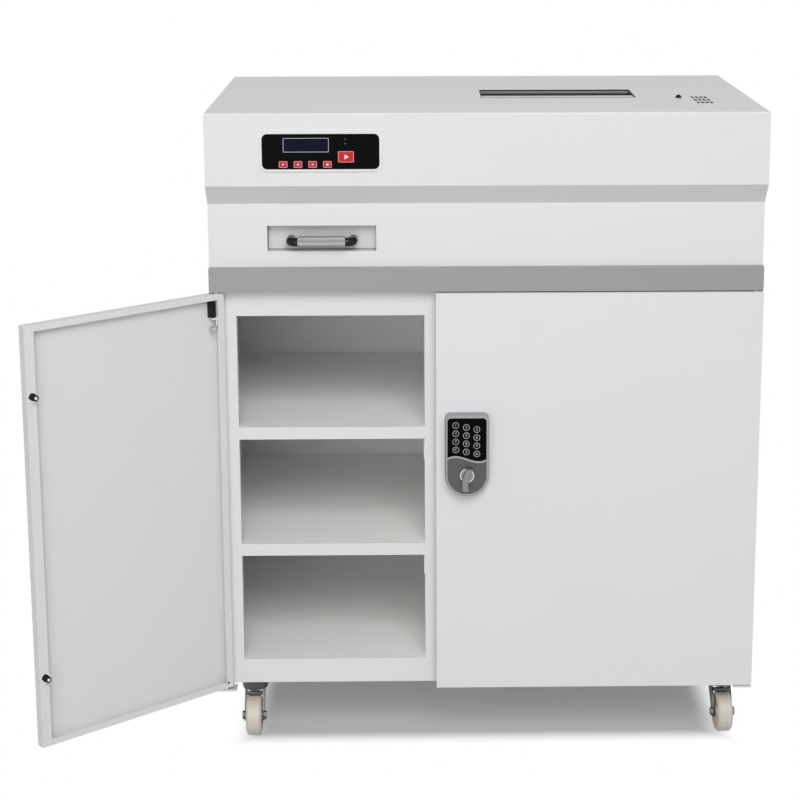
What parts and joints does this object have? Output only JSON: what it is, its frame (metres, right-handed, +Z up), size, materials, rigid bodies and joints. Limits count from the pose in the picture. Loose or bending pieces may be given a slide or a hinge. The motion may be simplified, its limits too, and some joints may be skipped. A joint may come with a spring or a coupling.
{
  "type": "high security shredder",
  "caption": "Office shredder cabinet on castors: shredding head with feed opening, control panel and drawer over a shelf bay and a waste bay behind hinged doors with a keypad lock.",
  "frame": {"origin": "on the floor under the middle of the cabinet's width and depth", "axes": "+X to the right seen from the front, -Y the front, +Z up"},
  "size_m": [1.0355, 0.6825, 0.9625],
  "materials": {
    "white_sheet": "powder coat, satin",
    "grey_sheet": "powder coat, satin",
    "inner_sheet": "powder coat, satin",
    "zinc": "zinc plated",
    "steel": "machined",
    "bronze": "sintered bronze",
    "motor_paint": "painted",
    "gearbox_alloy": "die cast",
    "bin_sheet": "powder coat",
    "black_plastic": "fine grain",
    "bezel_white": "satin",
    "panel_black": "gloss",
    "display_navy": "gloss",
    "board_green": "board",
    "key_red": "satin",
    "grip_steel": "knurled",
    "handle_black": "gloss",
    "lock_zinc": "satin chrome",
    "lock_dark": "dark plated",
    "rubber_black": "matt",
    "wheel_cream": "smooth",
    "fork_dark": "dark plated"
  },
  "bodies": {
    "cabinet": {"base_pan": "white_sheet", "floor_panel": "inner_sheet", "left_side_panel": "white_sheet", "right_side_panel": "white_sheet", "back_panel": "white_sheet", "centre_partition": "inner_sheet", "machine_deck": "white_sheet", "waist_band": "grey_sheet", "head_casing": "white_sheet", "upper_shelf": "inner_sheet", "lower_shelf": "inner_sheet", "hinge_brackets": "zinc", "hinge_pins": "zinc", "feed_chute": "steel", "cutter_side_plates": "steel", "shaft_bearings": "bronze", "stripper_combs": "steel", "drive_motor": "motor_paint", "gearbox": "gearbox_alloy", "waste_box": "bin_sheet", "waste_box_handle": "black_plastic", "waste_runners": "zinc", "panel_bezel": "bezel_white", "panel_face": "panel_black", "display": "display_navy", "control_board": "board_green", "drawer_sleeve": "inner_sheet", "castor_plates": "zinc", "power_inlet": "black_plastic"},
    "left_door": {"left_door": "white_sheet", "door_buffers": "rubber_black"},
    "pivot_bolt": {"pivot_bolt": "zinc"},
    "right_door": {"right_door": "white_sheet", "lock_housing": "lock_zinc", "lock_keypad": "panel_black", "lock_cover": "lock_dark"},
    "lock_knob": {"lock_knob": "lock_zinc", "lock_cam": "zinc"},
    "start_key": {"start_key": "key_red"},
    "mode_key_1": {"mode_key_1": "key_red"},
    "mode_key_2": {"mode_key_2": "key_red"},
    "mode_key_3": {"mode_key_3": "key_red"},
    "mode_key_4": {"mode_key_4": "key_red"},
    "drawer": {"drawer_tray": "inner_sheet", "drawer_handle": "handle_black", "drawer_grip": "grip_steel"},
    "rear_cutter": {"rear_cutter": "steel", "rear_gear": "steel", "shaft_coupling": "steel"},
    "front_cutter": {"front_cutter": "steel", "front_gear": "steel"},
    "reset_button": {"reset_button": "black_plastic"},
    "castor_fork_front_left": {"castor_fork_front_left": "fork_dark"},
    "castor_wheel_front_left": {"castor_wheel_front_left": "wheel_cream"},
    "castor_fork_front_right": {"castor_fork_front_right": "fork_dark"},
    "castor_wheel_front_right": {"castor_wheel_front_right": "wheel_cream"},
    "castor_fork_rear_left": {"castor_fork_rear_left": "fork_dark"},
    "castor_wheel_rear_left": {"castor_wheel_rear_left": "wheel_cream"},
    "castor_fork_rear_right": {"castor_fork_rear_right": "fork_dark"},
    "castor_wheel_rear_right": {"castor_wheel_rear_right": "wheel_cream"}
  },
  "joints": [
    {"name": "left_door_hinge", "type": "hinge", "parent": "cabinet", "child": "left_door", "pos_m": [-0.39, -0.2262, 0.39], "axis": [0, 0, -1], "range_deg": [-140, 35]},
    {"name": "pivot_bolt_slide", "type": "slide", "parent": "left_door", "child": "pivot_bolt", "axis": [0, 0, -1], "range_m": [0, 0.008], "stiffness_N_per_m": 250, "springref_m": -0.01},
    {"name": "right_door_hinge", "type": "hinge", "parent": "cabinet", "child": "right_door", "pos_m": [0.39, -0.2262, 0.39], "axis": [0, 0, 1], "range_deg": [0, 150]},
    {"name": "lock_knob_turn", "type": "hinge", "parent": "right_door", "child": "lock_knob", "pos_m": [-0.029, -0.2545, 0.4295], "axis": [0, 1, 0], "range_deg": [0, 90]},
    {"name": "start_key_press", "type": "slide", "parent": "cabinet", "child": "start_key", "axis": [0, 1, 0], "range_m": [0, 0.0008], "stiffness_N_per_m": 800},
    {"name": "mode_key_1_press", "type": "slide", "parent": "cabinet", "child": "mode_key_1", "axis": [0, 1, 0], "range_m": [0, 0.0008], "stiffness_N_per_m": 800},
    {"name": "mode_key_2_press", "type": "slide", "parent": "cabinet", "child": "mode_key_2", "axis": [0, 1, 0], "range_m": [0, 0.0008], "stiffness_N_per_m": 800},
    {"name": "mode_key_3_press", "type": "slide", "parent": "cabinet", "child": "mode_key_3", "axis": [0, 1, 0], "range_m": [0, 0.0008], "stiffness_N_per_m": 800},
    {"name": "mode_key_4_press", "type": "slide", "parent": "cabinet", "child": "mode_key_4", "axis": [0, 1, 0], "range_m": [0, 0.0008], "stiffness_N_per_m": 800},
    {"name": "drawer_slide", "type": "slide", "parent": "cabinet", "child": "drawer", "axis": [0, -1, 0], "range_m": [0, 0.12]},
    {"name": "rear_cutter_spin", "type": "hinge", "parent": "cabinet", "child": "rear_cutter", "pos_m": [0.1125, 0.013, 0.7715], "axis": [1, 0, 0], "continuous": true},
    {"name": "front_cutter_spin", "type": "hinge", "parent": "cabinet", "child": "front_cutter", "pos_m": [0.1125, -0.047, 0.7715], "axis": [1, 0, 0], "continuous": true},
    {"name": "reset_button_press", "type": "slide", "parent": "cabinet", "child": "reset_button", "axis": [0, 0, -1], "range_m": [0, 0.0016], "stiffness_N_per_m": 800},
    {"name": "castor_swivel_front_left", "type": "hinge", "parent": "cabinet", "child": "castor_fork_front_left", "pos_m": [-0.351, -0.169, 0.08], "axis": [0, 0, 1], "continuous": true},
    {"name": "castor_roll_front_left", "type": "hinge", "parent": "castor_fork_front_left", "child": "castor_wheel_front_left", "pos_m": [-0.351, -0.194, 0.03], "axis": [1, 0, 0], "continuous": true},
    {"name": "castor_swivel_front_right", "type": "hinge", "parent": "cabinet", "child": "castor_fork_front_right", "pos_m": [0.3625, -0.169, 0.08], "axis": [0, 0, 1], "continuous": true},
    {"name": "castor_roll_front_right", "type": "hinge", "parent": "castor_fork_front_right", "child": "castor_wheel_front_right", "pos_m": [0.36381, -0.19397, 0.03], "axis": [0.9986, 0.0523, 0], "continuous": true},
    {"name": "castor_swivel_rear_left", "type": "hinge", "parent": "cabinet", "child": "castor_fork_rear_left", "pos_m": [-0.351, 0.199, 0.08], "axis": [0, 0, 1], "continuous": true},
    {"name": "castor_roll_rear_left", "type": "hinge", "parent": "castor_fork_rear_left", "child": "castor_wheel_rear_left", "pos_m": [-0.35448, 0.17424, 0.03], "axis": [0.9903, -0.1392, 0], "continuous": true},
    {"name": "castor_swivel_rear_right", "type": "hinge", "parent": "cabinet", "child": "castor_fork_rear_right", "pos_m": [0.3625, 0.199, 0.08], "axis": [0, 0, 1], "continuous": true},
    {"name": "castor_roll_rear_right", "type": "hinge", "parent": "castor_fork_rear_right", "child": "castor_wheel_rear_right", "pos_m": [0.36511, 0.17414, 0.03], "axis": [0.9945, 0.1045, 0], "continuous": true}
  ],
  "couplings": [
    {"joint": "front_cutter_spin", "follows": "rear_cutter_spin", "ratio": -1}
  ]
}
